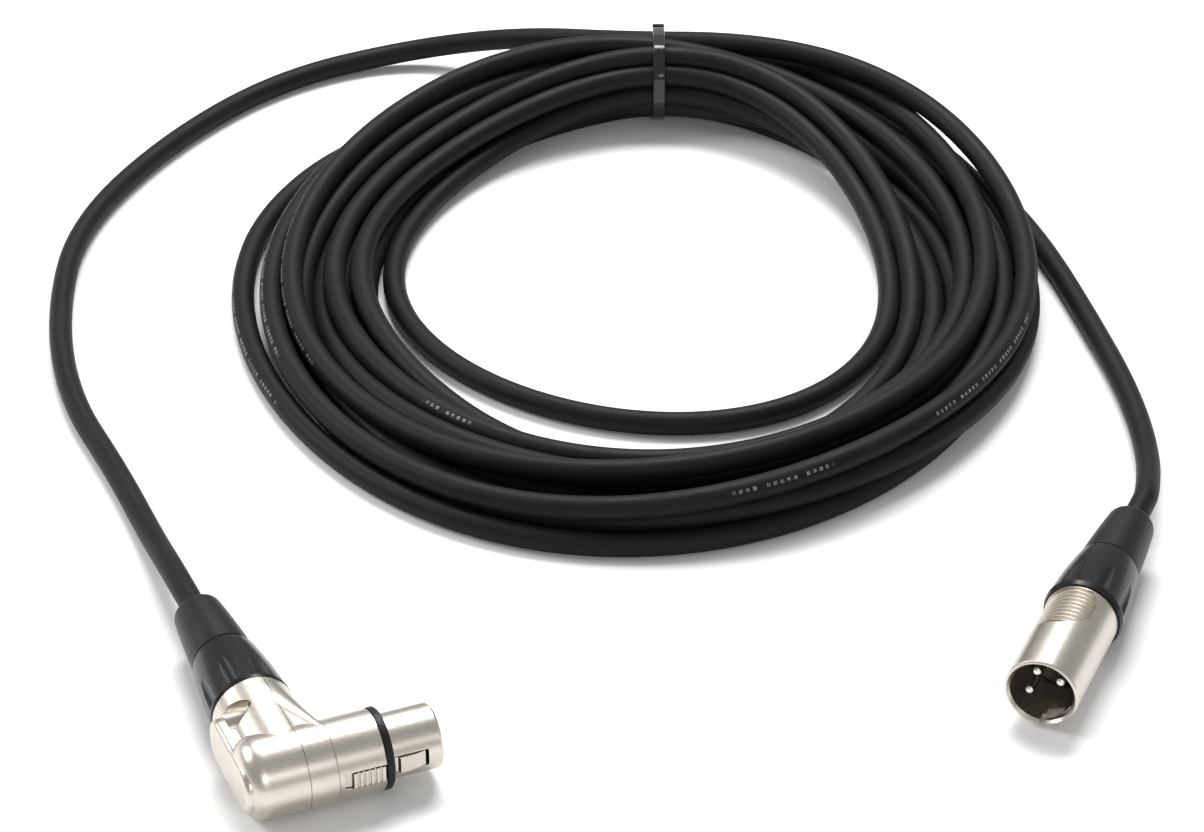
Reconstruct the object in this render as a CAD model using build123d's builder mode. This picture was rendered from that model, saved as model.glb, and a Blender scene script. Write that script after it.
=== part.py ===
"""A coiled microphone cable with a straight male plug and a right-angle female socket.

Millimetres, +Z up, the surface it lies on at Z = 0.  The male plug points along -Y.  The origin is
the middle of the footprint.  Each connector is drawn in its own plane, whose z runs forward from the
joint between the metal body and the boot nut, and whose y points up.
"""

import os
from math import cos, pi, radians, sin, sqrt

from build123d import *

# ---- driving dimensions ------------------------------------------------------------------------
CABLE_R = 3.25            # jacket outside
AXIS_HEIGHT = 10.4        # both connectors lie on their boot nuts

MALE_X, MALE_Y = 163.0, -51.0               # front of the male boot nut
CORNER_X, CORNER_Y = 6.0, -183.5            # where the elbow's two axes cross
CORNER_REACH = 25.0                         # from the female boot nut to that crossing

# boot, the same on both connectors
NUT_LENGTH = 22.4
SLEEVE_REAR = -44.5
SLEEVE_FRONT = -22.7
SLEEVE_BORE_R = CABLE_R + 0.4
THREAD_R = 8.2
THREAD_LENGTH = 10.0
THREAD_CLEARANCE = 0.06
CHUCK_REAR, CHUCK_FRONT = -19.5, -6.6
CABLE_END = -31.5                           # where the loose cable passes into the boot
JACKET_END = -8.0                           # where the jacket is stripped

# male shell
SHELL_R = 9.5
SHELL_LENGTH = 34.5
MOUTH_R = 8.2
INSERT_SEAT = 17.0
INSERT_FACE = INSERT_SEAT + 1.6
PIN_R = 1.2
PIN_SHOULDER_R = 1.45
PIN_SHOULDER = INSERT_FACE + 0.3            # the free, full-size part of a contact starts here
PIN_CIRCLE_R = 4.45
PIN_TIP = SHELL_LENGTH - 2.8
MALE_PIN_ANGLES = (30, 210, 120)            # contacts 1, 2 and 3, seen from the mouth
KEY_ANGLE = -60                             # opposite contact 3
GRIP_ANGLE = 120
GRIP_FLOOR_R = 8.6

# right-angle housing and female barrel; distances along the barrel start at the axes' crossing
ELBOW_R = 10.3
COVER_FACE = -12.5
SEAM = 3.0
SEAM_GAP = 0.14
PARTING = 10.0
BODY_R = 10.0
RING_START, RING_END = 22.3, 24.3
BARREL_R = 8.1
BARREL_END = 37.3
BARREL_BORE_R = 7.0
SOCKET_ANGLES = (90, -90, 0)                # the latch is at 180 degrees
SOCKET_R = 1.75
SOCKET_BORE_R = 1.25
SCREW_HEIGHT = 7.0        # over the cable axis
SCREW_ALONG = 8.5         # from the nut
SCREW_SEAT = -1.6         # bottom of the pocket, beside the cable axis
SCREW_BOSS_R = 2.9
POCKET_LENGTH = 8.0
POCKET_MOUTH_R = 4.4
THREAD_HOLE_DEPTH = 6.9
COVER_ROUNDING = 5.0

# latch, in distance along the barrel and distance from the barrel axis
LATCH_PIVOT = (12.7, 8.0)
LATCH_PIN_R = 0.5
LATCH_HALF_WIDTH = 2.1
SLOT_HALF_WIDTH = 2.35

# wires inside the connectors
WIRE_R = 0.75
WIRE_NAMES = ("shield_drain", "hot_wire", "cold_wire")      # to contacts 1, 2 and 3

# coil and cable tie
COIL_HEIGHT = 15.0
TIE_GAP = 44.0            # how much of the flat ring the drawn-up bundle replaces
TIE_X, TIE_Y, TIE_Z = -40.0, 170.0, 14.8
TIE_INNER_R = 13.5
TIE_THICKNESS = 1.1
TIE_WIDTH = 3.7

# ---- planes ------------------------------------------------------------------------------------
UP = Vector(0, 0, 1)
BOOT_DIR = Vector(sqrt(0.5), -sqrt(0.5), 0)
BARREL_DIR = Vector(sqrt(0.5), sqrt(0.5), 0)
CORNER = Vector(CORNER_X, CORNER_Y, AXIS_HEIGHT)

male = Plane(origin=(MALE_X, MALE_Y, AXIS_HEIGHT), x_dir=(1, 0, 0), z_dir=(0, -1, 0))
female = Plane(origin=CORNER - BOOT_DIR * CORNER_REACH, x_dir=BARREL_DIR, z_dir=BOOT_DIR)
barrel = Plane(origin=CORNER, x_dir=BOOT_DIR * -1, z_dir=BARREL_DIR)


def lengthwise(frame, angle=0):
    """The plane through a connector's axis: x is the distance from it, y runs along it."""
    turn = radians(angle)
    away = frame.x_dir * cos(turn) + frame.y_dir * sin(turn)
    return Plane(origin=frame.origin, x_dir=away, z_dir=away.cross(frame.z_dir))


def axis_of(frame):
    return Axis(frame.origin, frame.z_dir)


def on_circle(radius, angle):
    return radius * cos(radians(angle)), radius * sin(radians(angle))


def shifted(frame, x=0.0, y=0.0, z=0.0):
    """The same plane with its origin moved in its own directions."""
    return Plane(origin=frame.from_local_coords(Vector(x, y, z)), x_dir=frame.x_dir, z_dir=frame.z_dir)


def turned(frame, outline):
    """A body of revolution about a connector's axis, from (radius, distance along) corners."""
    with BuildPart() as body:
        with BuildSketch(lengthwise(frame)):
            with BuildLine():
                Polyline(*outline, close=True)
            make_face()
        revolve(axis=axis_of(frame))
    return body.part


def write(part, label):
    part.label = label
    export_step(part, f"parts/{label}.step")


os.makedirs("parts", exist_ok=True)


# ---- boots, chucks and wires: the same on both connectors ----------------------------------------
def boot_nut(frame):
    """Hard nut with eight shallow scallops; it screws on the body's thread and traps the sleeve."""
    with BuildPart() as nut:
        with BuildSketch(lengthwise(frame)):
            with BuildLine():
                inner = [
                    (THREAD_R + THREAD_CLEARANCE, 0),
                    (THREAD_R + THREAD_CLEARANCE, -THREAD_LENGTH - 0.6),
                    (7.5, -THREAD_LENGTH - 1.4),
                    (7.2, -15.5),
                    (6.6, -18.5),
                    (6.5, -NUT_LENGTH),
                ]
                Polyline(*inner)
                Line((6.5, -NUT_LENGTH), (8.0, -NUT_LENGTH))
                Line((8.0, -NUT_LENGTH), (8.3, -NUT_LENGTH + 0.4))
                Spline((8.3, -NUT_LENGTH + 0.4), (9.15, -16.0), (9.95, -8.0), (10.4, -1.2))
                Line((10.4, -1.2), (10.0, 0))
                Line((10.0, 0), inner[0])
            make_face()
        revolve(axis=axis_of(frame))
        for k in range(8):
            x, y = on_circle(9.45 + 3.4, 22.5 + 45 * k)
            with BuildSketch(shifted(frame, x, y, -NUT_LENGTH + 1.6)):
                Circle(3.4)
            extrude(amount=19.0, mode=Mode.SUBTRACT)
    return nut.part


def boot_sleeve(frame):
    """Flexible tapered sleeve behind the nut, with a spigot that turns inside the nut's rear bore."""
    with BuildPart() as sleeve:
        with BuildSketch(lengthwise(frame)):
            with BuildLine():
                Line((SLEEVE_BORE_R, SLEEVE_FRONT + 2.6), (6.2, SLEEVE_FRONT + 2.6))
                Line((6.2, SLEEVE_FRONT + 2.6), (6.2, SLEEVE_FRONT))
                Line((6.2, SLEEVE_FRONT), (7.7, SLEEVE_FRONT))
                Line((7.7, SLEEVE_FRONT), (8.0, SLEEVE_FRONT - 0.3))
                Spline((8.0, SLEEVE_FRONT - 0.3), (7.3, -33.5), (6.4, SLEEVE_REAR + 1.6))
                rear = RadiusArc((6.4, SLEEVE_REAR + 1.6), (4.9, SLEEVE_REAR), 1.6)
                Line(rear @ 1, (SLEEVE_BORE_R + 0.5, SLEEVE_REAR))
                Line((SLEEVE_BORE_R + 0.5, SLEEVE_REAR), (SLEEVE_BORE_R, SLEEVE_REAR + 1.2))
                Line((SLEEVE_BORE_R, SLEEVE_REAR + 1.2), (SLEEVE_BORE_R, SLEEVE_FRONT + 2.6))
            make_face()
        revolve(axis=axis_of(frame))
    return sleeve.part


def chuck(frame):
    """Slotted collet that the nut closes on the jacket."""
    with BuildPart() as collet:
        with BuildSketch(lengthwise(frame)):
            with BuildLine():
                Polyline(
                    (CABLE_R + 0.05, CHUCK_REAR),
                    (5.0, CHUCK_REAR),
                    (6.2, CHUCK_REAR + 5.0),
                    (6.5, CHUCK_FRONT - 1.4),
                    (7.0, CHUCK_FRONT - 1.4),
                    (7.0, CHUCK_FRONT),
                    (CABLE_R + 0.05, CHUCK_FRONT),
                    close=True,
                )
            make_face()
        revolve(axis=axis_of(frame))
        for angle in (0, 90):
            with BuildSketch(shifted(frame, z=CHUCK_REAR)):
                Rectangle(16, 0.9, rotation=angle + 45)
            extrude(amount=11.0, mode=Mode.SUBTRACT)
    return collet.part


def round_bar(frame, radius, start, end):
    with BuildPart() as bar:
        with BuildSketch(shifted(frame, z=start)):
            Circle(radius)
        extrude(amount=end - start)
    return bar.part


def tube_along(points, radii, radius):
    """A solid tube on straight runs joined by tangent arcs."""
    with BuildPart() as tube:
        with BuildLine():
            route = FilletPolyline(*points, radius=radii)
        with BuildSketch(Plane(origin=route @ 0, z_dir=route % 0)):
            Circle(radius)
        sweep(path=route)
    return tube.part, route.length


for name, frame in (("male", male), ("female", female)):
    write(boot_nut(frame), f"{name}_boot_nut")
    write(boot_sleeve(frame), f"{name}_boot_sleeve")
    write(chuck(frame), f"{name}_cable_chuck")
    write(round_bar(frame, CABLE_R, CABLE_END, JACKET_END), f"{name}_cable_end")


# ---- male plug -----------------------------------------------------------------------------------
with BuildPart() as grip:      # the rounded hollow for the thumb, down to its floor
    with BuildSketch(lengthwise(male, GRIP_ANGLE + 90)):
        with Locations((0, 7.6)):
            RectangleRounded(16.5, 18.0, 6.5)
    extrude(amount=12.0)
    with BuildSketch(male):
        Circle(GRIP_FLOOR_R)
    extrude(amount=20.0, mode=Mode.SUBTRACT)
    with BuildSketch(male.offset(-5.0)):
        Circle(20.0)
    extrude(amount=5.9, mode=Mode.SUBTRACT)

with BuildPart() as ridges:    # fine ridges across that hollow
    with BuildSketch(lengthwise(male)):
        for k in range(9):
            with Locations((GRIP_FLOOR_R, 1.9 + 1.65 * k)):
                Polygon((-0.3, -0.4), (0.6, -0.12), (0.6, 0.12), (-0.3, 0.4), align=None)
    revolve(axis=axis_of(male))
    add(grip.part, mode=Mode.INTERSECT)

with BuildPart() as male_shell:
    with BuildSketch(lengthwise(male)):
        with BuildLine():
            Polyline(
                (7.2, -THREAD_LENGTH),
                (THREAD_R, -THREAD_LENGTH),
                (THREAD_R, 0.1),
                (SHELL_R - 0.2, 0.1),
                (SHELL_R, 0.4),
                (SHELL_R, SHELL_LENGTH - 0.5),
                (SHELL_R - 0.15, SHELL_LENGTH - 0.15),
                (SHELL_R - 0.5, SHELL_LENGTH),
                (MOUTH_R + 0.55, SHELL_LENGTH),
                (MOUTH_R, SHELL_LENGTH - 0.7),
                (MOUTH_R, INSERT_SEAT),
                (7.2, INSERT_SEAT),
                close=True,
            )
        make_face()
    revolve(axis=axis_of(male))
    add(grip.part, mode=Mode.SUBTRACT)
    add(ridges.part)
    # groove for the mating connector's latch, and the narrow key slot through the rim beside it
    with BuildSketch(male.offset(SHELL_LENGTH - 5.5)):
        with Locations(Location((*on_circle(MOUTH_R, KEY_ANGLE), 0), (0, 0, KEY_ANGLE))):
            Rectangle(1.5, 7.0)
    extrude(amount=3.9, mode=Mode.SUBTRACT)
    with BuildSketch(male.offset(SHELL_LENGTH - 3.2)):
        with Locations(Location((*on_circle(SHELL_R - 0.6, KEY_ANGLE - 24), 0), (0, 0, KEY_ANGLE - 24))):
            Rectangle(3.0, 1.5)
    extrude(amount=4.0, mode=Mode.SUBTRACT)
write(male_shell.part, "male_shell")

with BuildPart() as male_insert:
    with BuildSketch(male.offset(2.0)):
        Circle(7.1)
    extrude(amount=INSERT_SEAT - 2.0)
    with BuildSketch(male.offset(INSERT_SEAT)):
        Circle(MOUTH_R - 0.1)
    extrude(amount=INSERT_FACE - INSERT_SEAT)
    chamfer(male_insert.faces().sort_by(axis_of(male))[-1].edges(), 0.4)
    with BuildSketch(male.offset(2.0)):
        for angle in MALE_PIN_ANGLES:
            with Locations(on_circle(PIN_CIRCLE_R, angle)):
                Circle(PIN_SHOULDER_R + 0.05)
    extrude(amount=20.0, mode=Mode.SUBTRACT)
write(male_insert.part, "male_insert")

for number, angle in enumerate(MALE_PIN_ANGLES, start=1):
    x, y = on_circle(PIN_CIRCLE_R, angle)
    centre = shifted(male, x, y)
    with BuildPart() as pin:
        with BuildSketch(lengthwise(centre)):
            with BuildLine():
                Line((0, 0.4), (0.85, 0.4))
                Line((0.85, 0.4), (0.85, -3.4))
                Line((0.85, -3.4), (1.6, -3.4))
                Line((1.6, -3.4), (1.6, 1.9))
                Line((1.6, 1.9), (PIN_SHOULDER_R, 1.9))
                Line((PIN_SHOULDER_R, 1.9), (PIN_SHOULDER_R, PIN_SHOULDER))
                Line((PIN_SHOULDER_R, PIN_SHOULDER), (PIN_R, PIN_SHOULDER))
                Line((PIN_R, PIN_SHOULDER), (PIN_R, PIN_TIP - 1.0))
                tip = RadiusArc((PIN_R, PIN_TIP - 1.0), (0.35, PIN_TIP), -1.0)
                Line(tip @ 1, (0, PIN_TIP))
                Line((0, PIN_TIP), (0, 0.4))
            make_face()
        revolve(axis=axis_of(centre))
    write(pin.part, f"male_contact_pin_{number}")

with BuildPart() as ground_spring:     # bowed leaf that earths the mating shell
    leaf_plane = lengthwise(male, KEY_ANGLE + 24)
    with BuildSketch(leaf_plane):
        with BuildLine():
            Polyline((7.95, INSERT_SEAT + 2.0), (7.3, 23.0), (7.3, 27.5), (7.95, 32.0))
            offset(amount=0.11, side=Side.BOTH)
        make_face()
    extrude(amount=1.6, both=True)
write(ground_spring.part, "male_ground_spring")


# ---- right-angle housing ---------------------------------------------------------------------------
def screw_plane(x):
    """The plane across the cover screw at a distance x from the cable axis, facing the barrel side."""
    origin = female.from_local_coords(Vector(x, SCREW_HEIGHT, SCREW_ALONG))
    return Plane(origin=origin, x_dir=female.y_dir, z_dir=female.x_dir)


across = Axis(CORNER, BARREL_DIR)

with BuildPart() as envelope:          # the outside of the whole housing
    with BuildSketch(barrel.offset(COVER_FACE + 0.6)):
        Circle(ELBOW_R)
    extrude(amount=PARTING - COVER_FACE - 0.6)
    fillet(envelope.faces().sort_by(across)[0].edges(), COVER_ROUNDING)
    with BuildSketch(female.offset(0.1)):
        Circle(ELBOW_R)
    extrude(amount=CORNER_REACH - 0.1)
    with BuildSketch(female.offset(0.3)):                        # shoulder that fills the inner corner
        Circle(ELBOW_R - 0.1)
    with BuildSketch(barrel.offset(PARTING - 0.2)):
        Circle(ELBOW_R - 0.1)
    loft(ruled=True)
    with BuildSketch(shifted(barrel, x=6.5, z=COVER_FACE)):      # the flat panel on the outer face
        RectangleRounded(30.0, 12.4, 5.5)
    extrude(amount=9.0)
    fillet(envelope.faces().sort_by(across)[0].edges(), 1.6)
    with BuildSketch(female.offset(0.1)):                        # square at the nut and at the barrel
        Rectangle(60, 60)
    extrude(amount=-12.0, mode=Mode.SUBTRACT)
    with BuildSketch(barrel.offset(PARTING)):
        Circle(ELBOW_R + 0.3)
    extrude(amount=2.0, mode=Mode.SUBTRACT)

with BuildPart() as spigot:            # carries the nut's thread
    with BuildSketch(female.offset(-THREAD_LENGTH)):
        Circle(THREAD_R)
    extrude(amount=THREAD_LENGTH + 1.0)

with BuildPart() as cavity:            # the inside, round a solid boss for the screw
    with BuildSketch(female.offset(-THREAD_LENGTH)):
        Circle(7.2)
    extrude(amount=THREAD_LENGTH + CORNER_REACH)
    with BuildSketch(barrel.offset(COVER_FACE + 2.6)):
        Circle(7.2)
    extrude(amount=SEAM - COVER_FACE - 2.6)
    with BuildSketch(barrel.offset(1.0)):
        Circle(8.6)
    extrude(amount=PARTING + 2.0)
    with BuildSketch(screw_plane(-ELBOW_R)):
        Circle(SCREW_BOSS_R)
    extrude(amount=2 * ELBOW_R, mode=Mode.SUBTRACT)
    with BuildSketch(screw_plane(SCREW_SEAT + 0.8)):
        Circle(SCREW_BOSS_R + 0.7)
    with BuildSketch(screw_plane(SCREW_SEAT - POCKET_LENGTH)):
        Circle(POCKET_MOUTH_R + 1.1)
    loft(mode=Mode.SUBTRACT)

with BuildPart() as screw_hole:        # scooped pocket and threaded hole in one line
    with BuildSketch(screw_plane(SCREW_SEAT)):
        Circle(SCREW_BOSS_R - 0.3)
    with BuildSketch(screw_plane(SCREW_SEAT - POCKET_LENGTH)):
        Circle(POCKET_MOUTH_R)
    loft()
    with BuildSketch(screw_plane(SCREW_SEAT)):
        Circle(1.25)
    extrude(amount=THREAD_HOLE_DEPTH)


def housing_half(cut_at, keep):
    """One side of the hollow housing, cut beside the cable axis by a plane parallel to it."""
    with BuildPart() as half:
        add(envelope.part)
        add(spigot.part)
        add(cavity.part, mode=Mode.SUBTRACT)
        add(screw_hole.part, mode=Mode.SUBTRACT)
        split(bisect_by=barrel.offset(cut_at), keep=keep)
    return half.part


write(housing_half(SEAM - SEAM_GAP / 2, Keep.BOTTOM), "elbow_rear_cover")
write(housing_half(SEAM + SEAM_GAP / 2, Keep.TOP), "elbow_front_housing")

with BuildPart() as cover_screw:
    with BuildSketch(screw_plane(SCREW_SEAT)):
        Circle(2.2)
    extrude(amount=-1.3)
    fillet(cover_screw.faces().sort_by(across)[0].edges(), 0.35)
    with BuildSketch(screw_plane(SCREW_SEAT - 1.3)):
        Rectangle(2.6, 0.55)
        Rectangle(0.55, 2.6)
    extrude(amount=0.8, mode=Mode.SUBTRACT)
    with BuildSketch(screw_plane(SCREW_SEAT)):
        Circle(1.2)
    extrude(amount=THREAD_HOLE_DEPTH - 0.3)
write(cover_screw.part, "cover_screw")


# ---- female barrel ---------------------------------------------------------------------------------
def latch_side(points):
    """Points given as (distance along the barrel, distance from its axis on the latch's side)."""
    return [(away, along) for along, away in points]


latch_plane = lengthwise(barrel, 180)

with BuildPart() as female_shell:
    with BuildSketch(lengthwise(barrel)):
        with BuildLine():
            Polyline(
                (BARREL_BORE_R, 3.0),
                (8.5, 3.0),
                (8.5, PARTING + 0.12),
                (BODY_R - 0.15, PARTING + 0.12),
                (BODY_R, PARTING + 0.3),
                (BODY_R, RING_START - 0.2),
                (BODY_R - 0.2, RING_START),
                (BARREL_R, RING_START),
                (BARREL_R, BARREL_END - 0.6),
                (BARREL_R - 0.5, BARREL_END),
                (BARREL_BORE_R + 0.25, BARREL_END),
                (BARREL_BORE_R, BARREL_END - 0.25),
                close=True,
            )
        make_face()
    revolve(axis=axis_of(barrel))
    with BuildSketch(latch_plane):               # slot for the latch, and its window in front of the ring
        with BuildLine():
            Polyline(*latch_side([(11.6, 6.0), (11.6, 12.0), (33.4, 12.0), (33.4, 6.0)]), close=True)
        make_face()
    extrude(amount=SLOT_HALF_WIDTH, both=True, mode=Mode.SUBTRACT)
    along, away = LATCH_PIVOT
    with BuildSketch(Plane.XY.offset(AXIS_HEIGHT - 4.1)):
        with Locations(latch_plane.from_local_coords(Vector(away, along, 0))):
            Circle(LATCH_PIN_R)
    extrude(amount=8.2, mode=Mode.SUBTRACT)
write(female_shell.part, "female_barrel_shell")

with BuildPart() as ring:
    with BuildSketch(lengthwise(barrel)):
        with BuildLine():
            Polyline(
                (BARREL_R, RING_START),
                (BODY_R, RING_START),
                (BODY_R + 0.2, RING_START + 0.3),
                (BODY_R + 0.2, RING_END - 0.5),
                (BODY_R - 0.3, RING_END),
                (BARREL_R, RING_END),
                close=True,
            )
        make_face()
    revolve(axis=axis_of(barrel))
write(ring.part, "sealing_ring")

with BuildPart() as insert:
    with BuildSketch(barrel.offset(11.0)):
        Circle(BARREL_BORE_R - 0.1)
    extrude(amount=BARREL_END - 1.0 - 11.0)
    chamfer(insert.faces().sort_by(across)[-1].edges(), 0.4)
    with BuildSketch(latch_plane):               # channel that the latch sinks into
        with BuildLine():
            Polyline(*latch_side([(10.0, 4.5), (10.0, 8.0), (33.9, 8.0), (33.9, 4.5)]), close=True)
        make_face()
    extrude(amount=SLOT_HALF_WIDTH, both=True, mode=Mode.SUBTRACT)
    with BuildSketch(barrel.offset(11.0)):
        for angle in SOCKET_ANGLES:
            with Locations(on_circle(PIN_CIRCLE_R, angle)):
                Circle(SOCKET_R + 0.05)
    extrude(amount=30.0, mode=Mode.SUBTRACT)
write(insert.part, "female_insert")

for number, angle in enumerate(SOCKET_ANGLES, start=1):
    x, y = on_circle(PIN_CIRCLE_R, angle)
    centre = shifted(barrel, x, y)
    with BuildPart() as socket:
        with BuildSketch(lengthwise(centre)):
            with BuildLine():
                Polyline(
                    (0, 12.5),
                    (0.85, 12.5),
                    (0.85, 8.5),
                    (1.5, 8.5),
                    (1.5, 13.0),
                    (SOCKET_R, 13.4),
                    (SOCKET_R, BARREL_END - 2.2),
                    (SOCKET_BORE_R + 0.2, BARREL_END - 2.2),
                    (SOCKET_BORE_R, BARREL_END - 2.6),
                    (SOCKET_BORE_R, 17.0),
                    (0, 17.0),
                    close=True,
                )
            make_face()
        revolve(axis=axis_of(centre))
    write(socket.part, f"socket_contact_{number}")


# ---- latch -----------------------------------------------------------------------------------------
with BuildPart() as latch:
    with BuildSketch(latch_plane):
        with BuildLine():
            Polyline(
                *latch_side(
                    [
                        (12.0, 7.2),
                        (12.0, 8.8),
                        (13.4, 9.1),
                        (13.7, 10.1),
                        (21.7, 10.1),
                        (21.9, 7.75),
                        (25.6, 7.75),
                        (26.0, 8.7),
                        (28.5, 8.6),
                        (32.6, 7.7),
                        (32.6, 6.9),
                    ]
                ),
                close=True,
            )
        make_face()
    extrude(amount=LATCH_HALF_WIDTH, both=True)
    for k in range(5):                           # finger ribs: the grooves between them
        with BuildSketch(latch_plane):
            with Locations((10.1, 14.9 + 1.4 * k)):
                Circle(0.36)
        extrude(amount=LATCH_HALF_WIDTH, both=True, mode=Mode.SUBTRACT)
    with BuildSketch(latch_plane):
        with Locations(latch_side([LATCH_PIVOT])[0]):
            Circle(LATCH_PIN_R + 0.05)
    extrude(amount=LATCH_HALF_WIDTH, both=True, mode=Mode.SUBTRACT)
write(latch.part, "latch_lever")

with BuildPart() as latch_pin:
    with BuildSketch(latch_plane):
        with Locations(latch_side([LATCH_PIVOT])[0]):
            Circle(LATCH_PIN_R)
    extrude(amount=4.0, both=True)
write(latch_pin.part, "latch_pin")

with BuildPart() as latch_spring:
    with BuildSketch(latch_plane):
        with BuildLine():
            Polyline(*latch_side([(30.0, 4.64), (19.5, 4.64), (16.0, 6.15), (13.6, 6.15)]))
            offset(amount=0.12, side=Side.BOTH)
        make_face()
    extrude(amount=1.5, both=True)
write(latch_spring.part, "latch_spring")


# ---- conductors inside the connectors ----------------------------------------------------------------
for wire, angle in zip(WIRE_NAMES, MALE_PIN_ANGLES):
    near, far = on_circle(1.5, angle), on_circle(PIN_CIRCLE_R, angle)
    points = [
        male.from_local_coords(Vector(*near, JACKET_END)),
        male.from_local_coords(Vector(*near, JACKET_END + 1.6)),
        male.from_local_coords(Vector(*far, -3.8)),
        male.from_local_coords(Vector(*far, -0.5)),
    ]
    core, _ = tube_along(points, [1.0, 1.0], WIRE_R)
    write(core, f"male_{wire}")

for wire, angle, start in zip(WIRE_NAMES, SOCKET_ANGLES, (150, -150, 0)):
    near, far = on_circle(1.5, start), on_circle(PIN_CIRCLE_R, angle)
    points = [
        female.from_local_coords(Vector(*near, JACKET_END)),
        female.from_local_coords(Vector(*near, 14.0)),
        barrel.from_local_coords(Vector(*far, 1.0)),
        barrel.from_local_coords(Vector(*far, 10.5)),
    ]
    core, _ = tube_along(points, [3.0, 3.0], WIRE_R)
    write(core, f"female_{wire}")


# ---- cable -------------------------------------------------------------------------------------------
FEMALE_TAIL = [
    (-52.0, 175.0, 20.5),
    (-90.0, 176.5, 14.0),
    (-127.0, 172.0, 4.0),
    (-156.5, 139.0, 3.3),
    (-170.0, 88.0, 3.3),
    (-170.5, 34.0, 3.3),
    (-152.0, -11.5, 3.3),
    (-127.5, -49.0, 3.3),
    (-97.5, -76.5, 3.3),
    (-74.0, -101.0, 4.0),
    (-54.46, -123.04, 10.4),
    (-33.95, -143.55, 10.4),
]
MALE_TAIL = [
    (73.0, 158.0, 3.5),
    (96.5, 132.5, 3.3),
    (120.0, 99.0, 3.3),
    (141.5, 66.5, 3.3),
    (155.5, 37.5, 4.2),
    (163.0, 9.5, 10.4),
    (163.0, -19.5, 10.4),
]


def corner_radii(points):
    """The radius at each corner of a route: as large as its two runs allow."""
    radii = []
    for a, b, c in zip(points, points[1:], points[2:]):
        before, after = Vector(*b) - Vector(*a), Vector(*c) - Vector(*b)
        half_turn = radians(before.get_angle(after)) / 2
        radii.append(0.45 * min(before.length, after.length) / (sin(half_turn) / cos(half_turn)))
    return radii


for name, points in (("female", FEMALE_TAIL), ("male", MALE_TAIL)):
    radii = corner_radii(points)
    tail, length = tube_along(points, radii, CABLE_R)
    print(name, "tail radii", [round(r) for r in radii])
    print("  length", round(length, 1), "volume", round(tail.volume), "of", round(pi * CABLE_R**2 * length))
    write(tail, f"cable_tail_{name}")

OUTER_EDGE = [
    (-45, 183),
    (-14, 196),
    (25, 197),
    (58, 179),
    (89, 141),
    (108, 100),
    (112, 48),
    (101, -5),
    (72, -46),
    (35, -75),
    (-10, -81),
    (-64, -49),
    (-102, -5),
    (-116, 30),
    (-120, 64),
    (-114, 110),
    (-94, 150),
    (-70, 173),
]
INNER_EDGE = [
    (-36, 158),
    (-56, 142),
    (-70, 103),
    (-74, 55),
    (-64, 32),
    (-50, 19),
    (-24, 8),
    (17, 1),
    (50, 12),
    (66, 35),
    (66, 75),
    (54, 108),
    (36, 130),
    (5, 150),
]


tie_plane = Plane(
    origin=(TIE_X, TIE_Y, TIE_Z), x_dir=UP, z_dir=(cos(radians(22.5)), sin(radians(22.5)), 0)
)

with BuildPart() as coil:
    with BuildSketch():
        with BuildLine():
            Spline(*OUTER_EDGE, periodic=True)
        make_face()
        with BuildLine():
            Spline(*INNER_EDGE, periodic=True)
        make_face(mode=Mode.SUBTRACT)
    extrude(amount=COIL_HEIGHT)
    with BuildSketch(tie_plane):
        Rectangle(60, 60)
    extrude(amount=TIE_GAP / 2, both=True, mode=Mode.SUBTRACT)
    # at the tie the turns are drawn up into one round bundle
    for spread_at in (Vector(-70, 154, 8.2), Vector(2, 171, 8.2)):
        with BuildSketch(tie_plane):
            Circle(TIE_INNER_R - 0.6)
        with BuildSketch(Plane(origin=spread_at, x_dir=UP, z_dir=spread_at - tie_plane.origin)):
            Ellipse(8.0, 15.0)
        loft()
write(coil.part, "cable_coil")

# ---- cable tie ---------------------------------------------------------------------------------------
with BuildPart() as tie:
    with BuildSketch(tie_plane):
        Circle(TIE_INNER_R + TIE_THICKNESS)
        Circle(TIE_INNER_R, mode=Mode.SUBTRACT)
    extrude(amount=TIE_WIDTH / 2, both=True)
    with BuildSketch(tie_plane):               # the head, at the back
        with Locations((-1.0, -TIE_INNER_R - 2.6)):
            RectangleRounded(6.4, 4.6, 0.8)
    extrude(amount=2.7, both=True)
write(tie.part, "cable_tie")
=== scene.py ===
"""Looks for the coiled microphone cable: one continuous jacketed cable, its tie, and materials.

Metres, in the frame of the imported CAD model.  Lengths written in millimetres are multiplied by MM.
"""

import bpy
import numpy as np
from math import cos, floor, pi, radians, sin
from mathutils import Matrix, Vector


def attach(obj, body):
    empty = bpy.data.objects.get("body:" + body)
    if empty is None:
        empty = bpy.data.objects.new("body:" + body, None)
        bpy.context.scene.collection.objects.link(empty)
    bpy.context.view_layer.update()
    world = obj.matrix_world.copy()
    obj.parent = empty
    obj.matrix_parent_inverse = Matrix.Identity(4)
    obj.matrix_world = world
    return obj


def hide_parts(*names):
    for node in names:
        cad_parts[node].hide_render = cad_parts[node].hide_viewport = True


MM = 0.001
ROOT = "cable_and_connectors"

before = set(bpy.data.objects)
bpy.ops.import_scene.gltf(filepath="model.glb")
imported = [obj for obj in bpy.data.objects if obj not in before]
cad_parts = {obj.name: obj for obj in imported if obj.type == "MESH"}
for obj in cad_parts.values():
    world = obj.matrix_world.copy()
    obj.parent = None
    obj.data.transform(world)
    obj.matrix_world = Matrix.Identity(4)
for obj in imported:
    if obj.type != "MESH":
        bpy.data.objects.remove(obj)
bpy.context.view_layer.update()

# ---- camera ------------------------------------------------------------------------------------
VIEW_AZIMUTH = radians(22.5)
VIEW_ELEVATION = radians(33)
VIEW_DISTANCE = 1.1019
VIEW_TARGET = Vector((0.010, 0.0035, 0.0))


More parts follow.
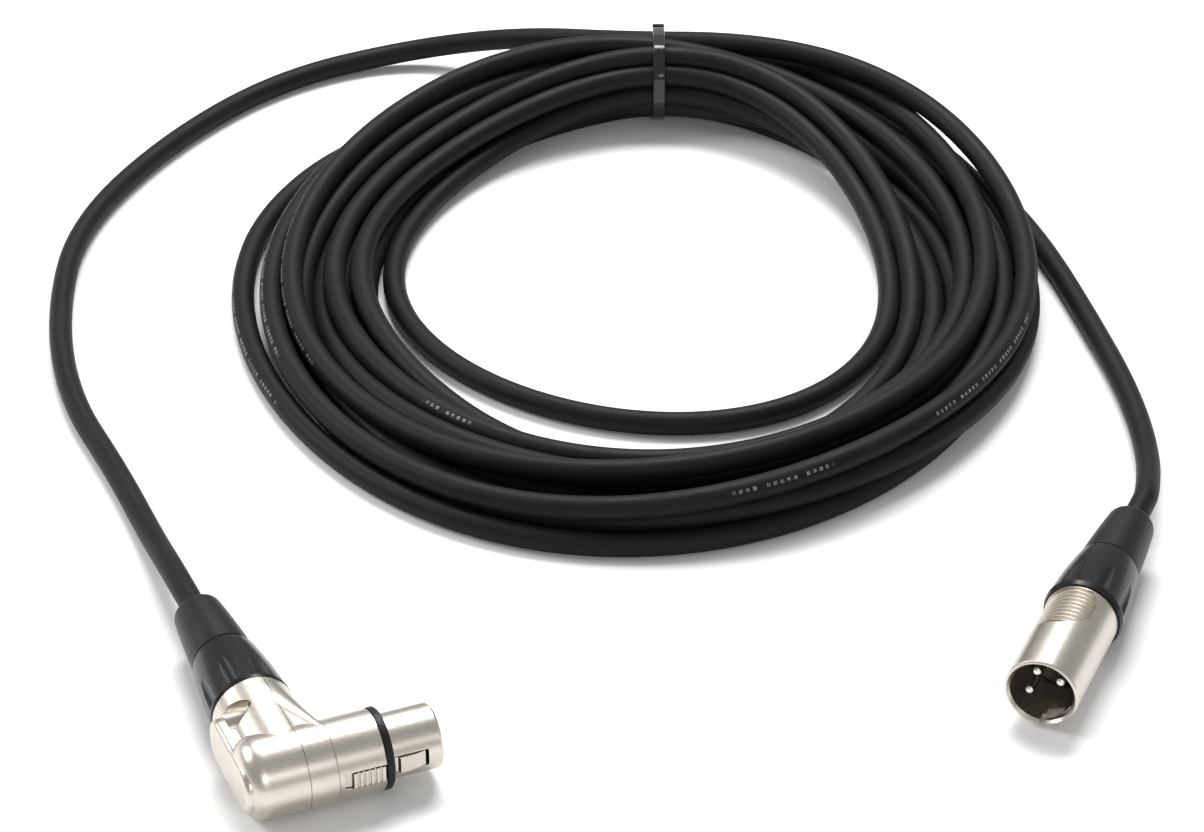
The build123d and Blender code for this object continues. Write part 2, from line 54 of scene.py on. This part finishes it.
def make_camera():
    back = Vector((
        sin(VIEW_AZIMUTH) * cos(VIEW_ELEVATION),
        -cos(VIEW_AZIMUTH) * cos(VIEW_ELEVATION),
        sin(VIEW_ELEVATION),
    ))
    data = bpy.data.cameras.new("camera")
    data.lens = 119.6
    data.sensor_width = 36
    data.clip_start, data.clip_end = 0.05, 20
    camera = bpy.data.objects.new("camera", data)
    bpy.context.scene.collection.objects.link(camera)
    camera.location = VIEW_TARGET + back * VIEW_DISTANCE
    camera.rotation_mode = "QUATERNION"
    camera.rotation_quaternion = (-back).to_track_quat("-Z", "Y")
    bpy.context.scene.camera = camera


make_camera()

# ---- cable: the two loose ends -----------------------------------------------------------------
CABLE_D = 6.5 * MM
CABLE_R = CABLE_D / 2

# the same points as in part.py, from the coil outwards, in mm
FEMALE_TAIL = [
    (-52.0, 175.0, 20.5),
    (-90.0, 176.5, 14.0),
    (-127.0, 172.0, 4.0),
    (-156.5, 139.0, 3.3),
    (-170.0, 88.0, 3.3),
    (-170.5, 34.0, 3.3),
    (-152.0, -11.5, 3.3),
    (-127.5, -49.0, 3.3),
    (-97.5, -76.5, 3.3),
    (-74.0, -101.0, 4.0),
    (-54.46, -123.04, 10.4),
    (-33.95, -143.55, 10.4),
]
MALE_TAIL = [
    (73.0, 158.0, 3.5),
    (96.5, 132.5, 3.3),
    (120.0, 99.0, 3.3),
    (141.5, 66.5, 3.3),
    (155.5, 37.5, 4.2),
    (163.0, 9.5, 10.4),
    (163.0, 2.0, 10.4),       # not in part.py: keeps the line straight where the sleeve slides
    (163.0, -19.5, 10.4),
]

# ---- cable: the coil ---------------------------------------------------------------------------
COIL_TURNED = radians(22.5)       # the tie lies this far anticlockwise from +Y, seen from above
COIL_CENTRE = (-2.7, 65.4)                   # mm
TIE_CENTRE = np.array((-40.0, 170.0, 14.8)) * MM
TIE_AXIS = np.array((cos(COIL_TURNED), sin(COIL_TURNED), 0.0))
BUNDLE_R = 13.5 * MM

# the lanes' inner and outer limits in mm from the coil's centre, every 30 degrees clockwise
# from the tie
INNER = (99, 90, 76, 70, 75, 79, 72, 67, 67, 74, 80, 84)
OUTER = (121, 123, 118, 110, 113, 122, 140, 133, 113, 108, 114, 120)

# one row per turn: its place in the lanes (0 inner, 1 outer) and its height in cable diameters,
# on the right, in front and on the left
TURNS = (
    ((0.95, 1.1), (0.92, 1.0), (0.86, 0.8)),
    ((0.68, 1.2), (0.62, 2.0), (0.80, 2.0)),
    ((0.52, 1.5), (0.47, 2.0), (0.50, 1.6)),
    ((0.17, 0.1), (0.48, 0.1), (0.24, 1.0)),
    ((0.00, 0.0), (0.00, 0.0), (0.00, 0.0)),
    ((0.33, 0.0), (0.60, 0.0), (0.18, 0.0)),
    ((0.46, 0.1), (0.74, 0.1), (0.40, 0.1)),
    ((0.60, 0.2), (0.62, 1.0), (0.60, 0.1)),
    ((0.83, 1.0), (0.80, 1.3), (0.66, 1.2)),
    ((1.00, 0.2), (0.88, 0.3), (0.80, 0.3)),
    ((0.80, 0.0), (1.00, 0.0), (1.00, 0.0)),
)
# where each pass crosses the tie, in the same terms
PASSES = (
    (0.79, 2.96), (0.95, 2.04), (0.50, 3.32), (0.21, 2.96), (0.05, 2.04), (0.10, 1.01),
    (0.35, 0.33), (0.33, 1.68), (0.61, 1.33), (0.56, 2.32), (0.65, 0.33), (0.90, 1.01),
)
POINTS_PER_TURN = 24

SETTLE_ROUNDS = 600
PUSH = 1.9                                   # share of an overlap that one round undoes
SINK = 0.05 * MM                             # how far a free strand sinks in a round
STIFFNESS = 0.5
HOME_PULL = 0.02                             # towards where the strand was laid
CALM_FROM = 0.85                             # share of the rounds after which sinking and pull fade
CALM = 0.15
GAP = 6.62 * MM                              # how near two strands' lines may come
REACH = 13 * MM                              # pairs further apart than this are left out
PER_POINT = 6                                # places on the line looked at for each control point

# stretches that still carry print, in turns from the coil's start: .25 right, .5 front, .75 left
PRINTED = (
    (0.24, 0.32), (0.37, 0.41), (0.63, 0.80), (1.62, 1.76), (2.54, 2.57),
    (4.08, 4.12), (6.40, 6.44), (7.20, 7.27), (8.55, 8.58), (10.68, 10.76),
)


def ring_value(values, share):
    """A smooth value from a closed list, at a share of the way round."""
    place = share * len(values)
    i = floor(place)
    t = place - i
    a, b, c, d = (values[(i + k) % len(values)] for k in (-1, 0, 1, 2))
    return b + 0.5 * t * (c - a + t * (2 * a - 5 * b + 4 * c - d + t * (3 * (b - c) + d - a)))


def eased(stops, share):
    """A value that eases from stop to stop; stops are evenly spaced from 0 to 1."""
    place = min(share * (len(stops) - 1), len(stops) - 1.001)
    i = floor(place)
    t = place - i
    s = t * t * (3 - 2 * t)
    return stops[i] * (1 - s) + stops[i + 1] * s


def coil_points():
    """The coil's control points before it settles, from the tie round and round, in mm."""
    points = []
    for turn, (right, front, left) in enumerate(TURNS):
        stops = (PASSES[turn], right, front, left, PASSES[turn + 1])
        for step in range(POINTS_PER_TURN):
            share = step / POINTS_PER_TURN
            lane = eased([s[0] for s in stops], share)
            height = eased([s[1] for s in stops], share)
            radius = ring_value(INNER, share) * (1 - lane) + ring_value(OUTER, share) * lane
            angle = pi / 2 - 2 * pi * share + COIL_TURNED
            points.append((
                COIL_CENTRE[0] + radius * cos(angle),
                COIL_CENTRE[1] + radius * sin(angle),
                (CABLE_R + CABLE_D * height) / MM,
            ))
    return points[1:]      # the first pass belongs to the tail


def spline_weights():
    t = (np.arange(PER_POINT) + 0.5) / PER_POINT
    return np.stack([0.5 * (1 - t) ** 2, 0.5 + t - t * t, 0.5 * t * t], 1)


def spline_line(points, weights):
    triples = np.stack([points[:-2], points[1:-1], points[2:]], 1)
    return np.einsum("pk,mkc->mpc", weights, triples).reshape(-1, 3)


def near_pairs(line):
    """Pairs of places on the line that are close in space but not along the cable."""
    owner = np.repeat(np.arange(len(line) // PER_POINT), PER_POINT)
    firsts, seconds = [], []
    block = 400
    for start in range(0, len(line), block):
        square = ((line[start:start + block, None] - line[None]) ** 2).sum(2)
        i, j = np.nonzero(square < REACH**2)
        i += start
        apart = owner[j] - owner[i] > 2
        firsts.append(i[apart])
        seconds.append(j[apart])
    return np.concatenate(firsts), np.concatenate(seconds)


def tie_pull(line):
    """How far each place on the line has to move in for the tie to hold the bundle round."""
    along = (line - TIE_CENTRE) @ TIE_AXIS
    away = line - TIE_CENTRE - along[:, None] * TIE_AXIS
    radius = np.sqrt((away**2).sum(1)) + 1e-9
    limit = BUNDLE_R - CABLE_R + np.maximum(np.abs(along) - 6 * MM, 0) * 0.35
    held = (radius > limit) & (np.abs(along) < 26 * MM) & (radius < 40 * MM)
    pull = np.zeros_like(line)
    pull[held] = -away[held] / radius[held, None] * (radius[held] - limit[held])[:, None]
    return pull


def settle(points, free):
    """Lets the strands sink and push each other apart, with both tails held still."""
    points = np.array(points, float)
    home = points.copy()
    weights = spline_weights()
    free = np.array(free, float)[:, None]
    spans = len(points) - 2
    share = np.zeros(len(points))
    for k in range(3):
        share[k:k + spans] += weights[:, k].sum()
    for count in range(SETTLE_ROUNDS):
        line = spline_line(points, weights)
        if count % 12 == 0:
            first, second = near_pairs(line)
        between = line[second] - line[first]
        distance = np.sqrt((between**2).sum(1)) + 1e-9
        hit = distance < GAP
        push = between[hit] / distance[hit, None] * ((GAP - distance[hit]) / 2)[:, None]
        move = np.zeros_like(line)
        hits = np.zeros(len(line))
        np.add.at(move, second[hit], push)
        np.add.at(move, first[hit], -push)
        np.add.at(hits, second[hit], 1)
        np.add.at(hits, first[hit], 1)
        move /= np.sqrt(np.maximum(hits, 1))[:, None]
        move += tie_pull(line)
        low = line[:, 2] + move[:, 2] < CABLE_R
        move[low, 2] = CABLE_R - line[low, 2]

        spread = np.zeros_like(points)
        for k in range(3):
            spread[k:k + spans] += np.einsum("p,mpc->mc", weights[:, k], move.reshape(spans, -1, 3))
        points += free * spread / share[:, None] * PUSH

        strength = 1.0 if count < SETTLE_ROUNDS * CALM_FROM else CALM
        points[:, 2] -= free[:, 0] * SINK * strength
        stiff = np.zeros_like(points)
        beside = 4 * (points[1:-3] + points[3:-1])
        stiff[2:-2] = (beside - points[:-4] - points[4:] - 6 * points[2:-2]) / 16
        points += free * stiff * STIFFNESS
        points[:, :2] += free * (home[:, :2] - points[:, :2]) * HOME_PULL * strength
    return points


def cable_route():
    """Control points of the whole cable, from the female connector to the male one."""
    coil = coil_points()
    route = FEMALE_TAIL[::-1] + coil + MALE_TAIL
    free = [False] * len(FEMALE_TAIL) + [True] * len(coil) + [False] * len(MALE_TAIL)
    return settle(np.array(route) * MM, free)


def cable_centreline(route):
    """The points of a smooth NURBS curve through the route."""
    data = bpy.data.curves.new("route", "CURVE")
    data.dimensions = "3D"
    data.resolution_u = 10
    spline = data.splines.new("NURBS")
    spline.points.add(len(route) - 1)
    for point, place in zip(spline.points, route):
        point.co = (*place, 1.0)
    spline.order_u = 3
    spline.use_endpoint_u = True
    curve = bpy.data.objects.new("route", data)
    bpy.context.scene.collection.objects.link(curve)
    bpy.context.view_layer.update()
    mesh = bpy.data.meshes.new_from_object(curve)
    line = np.array([v.co for v in mesh.vertices], float)
    bpy.data.objects.remove(curve)
    bpy.data.meshes.remove(mesh)
    keep = np.r_[True, np.sqrt((np.diff(line, axis=0) ** 2).sum(1)) > 0.05 * MM]
    return line[keep]


def link_mesh(name, vertices, faces, smooth=True):
    mesh = bpy.data.meshes.new(name)
    mesh.from_pydata([tuple(v) for v in vertices], [], faces)
    mesh.update()
    for polygon in mesh.polygons:
        polygon.use_smooth = smooth
    piece = bpy.data.objects.new(name, mesh)
    bpy.context.scene.collection.objects.link(piece)
    return piece


def ring_faces(rings, sides, closed=False):
    faces = []
    for a in range(rings if closed else rings - 1):
        b = (a + 1) % rings
        for k in range(sides):
            m = (k + 1) % sides
            faces.append((a * sides + k, a * sides + m, b * sides + m, b * sides + k))
    return faces


def print_angle(along):
    """Where the printed line lies round the jacket: it wanders, mostly on the upper outside."""
    return radians(38 + 20 * sin(along * 3.1 + 0.6) + 12 * sin(along * 7.3))


def is_printed(turn):
    """1 on the stretches whose print has stayed readable, given as places in the coil, in turns."""
    return float(any(start < turn < end for start, end in PRINTED))


def jacket(line, sides=24):
    """A round tube along the line. Each ring's first corner lies on the printed line."""
    steps = np.sqrt((np.diff(line, axis=0) ** 2).sum(1))
    along = np.r_[0, np.cumsum(steps)]
    tangent = np.gradient(line, axis=0)
    tangent /= np.linalg.norm(tangent, axis=1)[:, None]
    side = np.cross(np.array((0.0, 0.0, 1.0)), tangent)       # on the coil this points outwards
    side /= np.linalg.norm(side, axis=1)[:, None]
    upward = np.cross(tangent, side)
    turns = (np.arange(len(line)) / len(line) * len(route) - len(FEMALE_TAIL)) / POINTS_PER_TURN
    vertices, away, reach, printed = [], [], [], []
    turn = 2 * pi / sides
    for i, centre in enumerate(line):
        start = print_angle(along[i])
        for k in range(sides):
            angle = start + k * turn
            vertices.append(centre + CABLE_R * (side[i] * cos(angle) + upward[i] * sin(angle)))
            away.append(CABLE_R * turn * min(k, sides - k))
            reach.append(along[i])
            printed.append(is_printed(turns[i]))
    faces = ring_faces(len(line), sides)
    faces.append(tuple(range(sides))[::-1])
    faces.append(tuple(range((len(line) - 1) * sides, len(line) * sides)))
    piece = link_mesh("jacketed_cable", vertices, faces)
    for name, values in (("print_away", away), ("along", reach), ("printed", printed)):
        attribute = piece.data.attributes.new(name, "FLOAT", "POINT")
        attribute.data.foreach_set("value", np.array(values, np.float32))
    return piece


route = cable_route()
centreline = cable_centreline(route)
cable = jacket(centreline)
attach(cable, ROOT)
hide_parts("cable_coil", "cable_tail_female", "cable_tail_male")

# ---- cable tie ---------------------------------------------------------------------------------
TIE_WIDTH = 3.7 * MM
TIE_THICKNESS = 1.1 * MM
TIE_UP = np.array((0.0, 0.0, 1.0))
TIE_BACK = np.cross(TIE_UP, TIE_AXIS)       # away from the coil's middle


def strands_in_tie(line):
    """Where the cable crosses the tie's plane, as (back, up) from its centre."""
    along = (line - TIE_CENTRE) @ TIE_AXIS
    places = []
    for i in np.nonzero(along[:-1] * along[1:] < 0)[0]:
        t = along[i] / (along[i] - along[i + 1])
        place = line[i] * (1 - t) + line[i + 1] * t - TIE_CENTRE
        if np.linalg.norm(place) < 30 * MM:
            places.append((place @ TIE_BACK, place @ TIE_UP))
    return np.array(places)


def tie_outline(strands, count=144):
    """The taut line round all the strands: a place and its outward normal for each direction."""
    outline = []
    for k in range(count):
        normal = np.array((cos(2 * pi * k / count), sin(2 * pi * k / count)))
        strand = strands[np.argmax(strands @ normal)]
        outline.append((strand + normal * (CABLE_R + 0.05 * MM), normal))
    return outline


def tie_place(flat, along):
    return TIE_CENTRE + TIE_BACK * flat[0] + TIE_UP * flat[1] + TIE_AXIS * along


def tie_band(outline):
    half, round_off = TIE_WIDTH / 2, 0.28 * MM
    profile = [      # (across the band, out from the bundle)
        (-half, 0), (half, 0), (half, TIE_THICKNESS - round_off),
        (half - 0.1 * MM, TIE_THICKNESS - 0.08 * MM), (half - round_off, TIE_THICKNESS),
        (-half + round_off, TIE_THICKNESS), (-half + 0.1 * MM, TIE_THICKNESS - 0.08 * MM),
        (-half, TIE_THICKNESS - round_off),
    ]
    vertices = []
    for place, normal in outline:
        vertices += [tie_place(place + normal * out, along) for along, out in profile]
    faces = ring_faces(len(outline), len(profile), closed=True)
    return link_mesh("cable_tie_band", vertices, faces)


def tie_block(name, outward, up, size, bevel):
    """A block with rounded edges on the back of the tie: size is (along the cable, outward, up)."""
    flat, _ = outline[0]
    corners = []
    for z in (-0.5, 0.5):
        for x, y in ((-0.5, -0.5), (0.5, -0.5), (0.5, 0.5), (-0.5, 0.5)):
            place = flat + np.array((outward + y * size[1], up + z * size[2]))
            corners.append(tie_place(place, x * size[0]))
    faces = [(0, 3, 2, 1), (4, 5, 6, 7), (0, 1, 5, 4), (1, 2, 6, 5), (2, 3, 7, 6), (3, 0, 4, 7)]
    piece = link_mesh(name, corners, faces)
    rounding = piece.modifiers.new("rounding", "BEVEL")
    rounding.width = bevel
    rounding.segments = 3
    return piece


outline = tie_outline(strands_in_tie(centreline))
tie_pieces = [
    tie_band(outline),
    tie_block("cable_tie_head", 2.6 * MM, 0.0, (5.4 * MM, 4.6 * MM, 6.2 * MM), 0.5 * MM),
    tie_block("cable_tie_tail", 3.0 * MM, 5.6 * MM, (3.6 * MM, 1.1 * MM, 6.0 * MM), 0.2 * MM),
]
for piece in tie_pieces:
    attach(piece, ROOT)
    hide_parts("cable_tie")

# ---- materials ---------------------------------------------------------------------------------


class Shader:
    """A small helper that builds one Principled material from nodes."""

    def __init__(self, name, **inputs):
        self.material = bpy.data.materials.new(name)
        self.material.use_nodes = True
        self.nodes = self.material.node_tree.nodes
        self.links = self.material.node_tree.links
        self.surface = self.nodes["Principled BSDF"]
        for key, value in inputs.items():
            self.surface.inputs[key.replace("_", " ")].default_value = value
        self.place = self.nodes.new("ShaderNodeTexCoord").outputs["Object"]

    def link(self, source, target):
        self.links.new(source, target)
        return source

    def math(self, operation, a, b=0.0, c=0.0):
        node = self.nodes.new("ShaderNodeMath")
        node.operation = operation
        for socket, value in zip(node.inputs, (a, b, c)):
            if isinstance(value, (int, float)):
                socket.default_value = value
            else:
                self.links.new(value, socket)
        return node.outputs[0]

    def noise(self, scale, detail=3.0, rough=0.5, place=None):
        node = self.nodes.new("ShaderNodeTexNoise")
        node.inputs["Scale"].default_value = scale
        node.inputs["Detail"].default_value = detail
        node.inputs["Roughness"].default_value = rough
        self.links.new(place or self.place, node.inputs["Vector"])
        return node.outputs["Fac"]

    def ramp(self, source, stops):
        """stops: (place, value or colour)."""
        node = self.nodes.new("ShaderNodeValToRGB")
        elements = node.color_ramp.elements
        while len(elements) < len(stops):
            elements.new(0.5)
        for element, (at, value) in zip(elements, stops):
            element.position = at
            colour = (value,) * 3 if isinstance(value, (int, float)) else value
            element.color = (*colour, 1.0)
        self.links.new(source, node.inputs["Fac"])
        return node.outputs["Color"]

    def mix(self, factor, a, b):
        node = self.nodes.new("ShaderNodeMix")
        node.data_type = "RGBA"
        self.links.new(factor, node.inputs["Factor"])
        for socket, value in ((node.inputs["A"], a), (node.inputs["B"], b)):
            if isinstance(value, tuple):
                socket.default_value = (*value, 1.0)
            else:
                self.links.new(value, socket)
        return node.outputs["Result"]

    def attribute(self, name):
        node = self.nodes.new("ShaderNodeAttribute")
        node.attribute_name = name
        return node.outputs["Fac"]

    def colour(self, source):
        return self.link(source, self.surface.inputs["Base Color"])

    def roughness(self, source):
        return self.link(source, self.surface.inputs["Roughness"])

    def bump(self, source, height, strength=1.0):
        node = self.nodes.new("ShaderNodeBump")
        node.inputs["Distance"].default_value = height
        node.inputs["Strength"].default_value = strength
        self.links.new(source, node.inputs["Height"])
        self.links.new(node.outputs["Normal"], self.surface.inputs["Normal"])


def jacket_material():
    """Matte rubbery jacket with plain pale dashes where a maker would print."""
    s = Shader("jacket_rubber", Specular_IOR_Level=0.14)
    mottle = s.noise(90.0, 4.0, 0.6)
    fine = s.noise(2600.0, 2.0, 0.6)
    black = s.ramp(mottle, [(0.3, (0.0066, 0.0062, 0.0066)), (0.7, (0.0105, 0.0098, 0.0102))])
    along, away = s.attribute("along"), s.attribute("print_away")
    pitch = 1.9 * MM                # one dash and its gap; every sixth is left out
    stroke = s.math("LESS_THAN", s.math("FRACT", s.math("MULTIPLY", along, 1 / pitch)), 0.55)
    group = s.math("FRACT", s.math("MULTIPLY", along, 1 / (pitch * 6)))
    grouped = s.math("LESS_THAN", group, 0.82)
    band = s.math("LESS_THAN", away, 0.5 * MM)
    worn = s.ramp(s.noise(900.0, 3.0, 0.7), [(0.35, 0.08), (0.6, 0.55)])
    dashes = s.math("MULTIPLY", stroke, grouped)
    stretch = s.math("MULTIPLY", band, s.attribute("printed"))
    mask = s.math("MULTIPLY", dashes, stretch)
    s.colour(s.mix(s.math("MULTIPLY", mask, worn), black, (0.40, 0.40, 0.39)))
    s.roughness(s.ramp(mottle, [(0.3, 0.48), (0.7, 0.60)]))
    s.bump(s.math("ADD", fine, s.math("MULTIPLY", mottle, 1.5)), 0.05 * MM, 0.5)
    return s.material


def nickel_material(name, light, dark, rough, grain):
    """Satin nickel: fine blasted grain, faint clouding, slightly warm."""
    s = Shader(name, Metallic=1.0)
    clouds = s.noise(60.0, 4.0, 0.6)
    grit = s.noise(grain, 3.0, 0.65)
    s.colour(s.ramp(clouds, [(0.3, dark), (0.7, light)]))
    s.roughness(s.ramp(grit, [(0.3, rough - 0.05), (0.7, rough + 0.07)]))
    s.bump(grit, 0.03 * MM, 0.55)
    return s.material


def plastic_material(name, light, dark, rough, grain=1800.0, relief=0.02, specular=0.5):
    """Moulded plastic or rubber: mottled colour, uneven gloss, fine texture."""
    s = Shader(name, Specular_IOR_Level=specular)
    mottle = s.noise(140.0, 3.0, 0.5)
    fine = s.noise(grain, 3.0, 0.6)
    s.colour(s.ramp(mottle, [(0.3, dark), (0.7, light)]))
    s.roughness(s.ramp(fine, [(0.3, rough - 0.05), (0.7, rough + 0.06)]))
    s.bump(fine, relief * MM, 0.5)
    return s.material


def dress(material, *names):
    for name in names:
        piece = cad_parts[name]
        piece.data.materials.clear()
        piece.data.materials.append(material)


def make_materials():
    numbers = (1, 2, 3)
    nickel = nickel_material("satin_nickel", (0.67, 0.625, 0.56), (0.60, 0.555, 0.49), 0.31, 2400.0)
    dress(nickel, "male_shell", "elbow_rear_cover", "elbow_front_housing", "female_barrel_shell")
    latch = nickel_material("latch_nickel", (0.64, 0.59, 0.53), (0.55, 0.51, 0.45), 0.26, 1800.0)
    dress(latch, "latch_lever", "latch_pin")
    contacts = nickel_material(
        "contact_silver", (0.88, 0.86, 0.82), (0.78, 0.76, 0.72), 0.20, 3000.0
    )
    dress(contacts, *(f"male_contact_pin_{n}" for n in numbers))
    dress(contacts, *(f"socket_contact_{n}" for n in numbers))
    steel = nickel_material("spring_steel", (0.62, 0.61, 0.60), (0.50, 0.50, 0.50), 0.28, 2000.0)
    dress(steel, "male_ground_spring", "latch_spring")
    screw = nickel_material("screw_steel", (0.45, 0.43, 0.41), (0.33, 0.31, 0.30), 0.38, 1500.0)
    dress(screw, "cover_screw")
    insert = plastic_material("insert_plastic", (0.032, 0.024, 0.018), (0.022, 0.016, 0.012), 0.45)
    dress(insert, "male_insert", "female_insert")
    chuck = plastic_material("chuck_plastic", (0.60, 0.60, 0.57), (0.50, 0.50, 0.48), 0.5)
    dress(chuck, "male_cable_chuck", "female_cable_chuck")
    nut = plastic_material(
        "nut_plastic", (0.010, 0.010, 0.011), (0.007, 0.007, 0.008), 0.25, 1800.0, 0.008, 0.3
    )
    dress(nut, "male_boot_nut", "female_boot_nut")
    sleeve = plastic_material(
        "sleeve_rubber", (0.0115, 0.0115, 0.012), (0.008, 0.008, 0.0085), 0.42, 1200.0, 0.03, 0.2
    )
    dress(sleeve, "male_boot_sleeve", "female_boot_sleeve")
    seal = plastic_material(
        "ring_rubber", (0.009, 0.009, 0.009), (0.006, 0.006, 0.006), 0.45, 1800.0, 0.02, 0.25
    )
    dress(seal, "sealing_ring")
    rubber = jacket_material()
    cable.data.materials.append(rubber)
    ends = plastic_material(
        "jacket_ends", (0.0115, 0.0110, 0.0116), (0.0070, 0.0068, 0.0073), 0.54, 2600.0, 0.04, 0.14
    )
    dress(ends, "male_cable_end", "female_cable_end")
    copper = nickel_material("drain_copper", (0.80, 0.42, 0.26), (0.66, 0.32, 0.19), 0.34, 1600.0)
    red = plastic_material("wire_red", (0.50, 0.03, 0.03), (0.40, 0.02, 0.02), 0.42)
    white = plastic_material("wire_white", (0.80, 0.80, 0.78), (0.70, 0.70, 0.68), 0.42)
    for side in ("male", "female"):
        dress(copper, f"{side}_shield_drain")
        dress(red, f"{side}_hot_wire")
        dress(white, f"{side}_cold_wire")
    nylon = plastic_material("tie_nylon", (0.011, 0.011, 0.012), (0.007, 0.007, 0.008), 0.22, 900.0)
    for piece in tie_pieces:
        piece.data.materials.append(nylon)


make_materials()

# ---- floor and light ---------------------------------------------------------------------------
FLOOR_SIZE = 6.0


def make_floor():
    half = FLOOR_SIZE / 2
    corners = [(-half, -half, 0), (half, -half, 0), (half, half, 0), (-half, half, 0)]
    floor_piece = link_mesh("floor", corners, [(0, 1, 2, 3)], False)
    s = Shader("floor_white", Roughness=0.6)
    s.colour(s.ramp(s.noise(3.0, 2.0), [(0.3, 0.90), (0.7, 0.92)]))
    floor_piece.data.materials.append(s.material)


def area_light(name, place, target, size, power):
    data = bpy.data.lights.new(name, "AREA")
    data.shape = "RECTANGLE"
    data.size, data.size_y = size
    data.energy = power
    light = bpy.data.objects.new(name, data)
    bpy.context.scene.collection.objects.link(light)
    light.location = place
    light.rotation_mode = "QUATERNION"
    light.rotation_quaternion = (Vector(target) - Vector(place)).to_track_quat("-Z", "Y")


def make_lights():
    middle = (0.0, 0.03, 0.0)
    area_light("top_softbox", (-0.25, 0.75, 1.35), middle, (1.0, 0.6), 30)
    area_light("left_softbox", (-1.3, -0.2, 0.9), middle, (0.6, 0.6), 12)
    area_light("front_fill", (0.9, -1.2, 0.8), middle, (0.7, 0.4), 5)
    world = bpy.data.worlds.new("studio")
    world.use_nodes = True
    background = world.node_tree.nodes["Background"]
    background.inputs["Color"].default_value = (1.0, 1.0, 1.0, 1.0)
    background.inputs["Strength"].default_value = 0.40
    bpy.context.scene.world = world
    bpy.context.scene.view_settings.view_transform = "Standard"


make_floor()
make_lights()
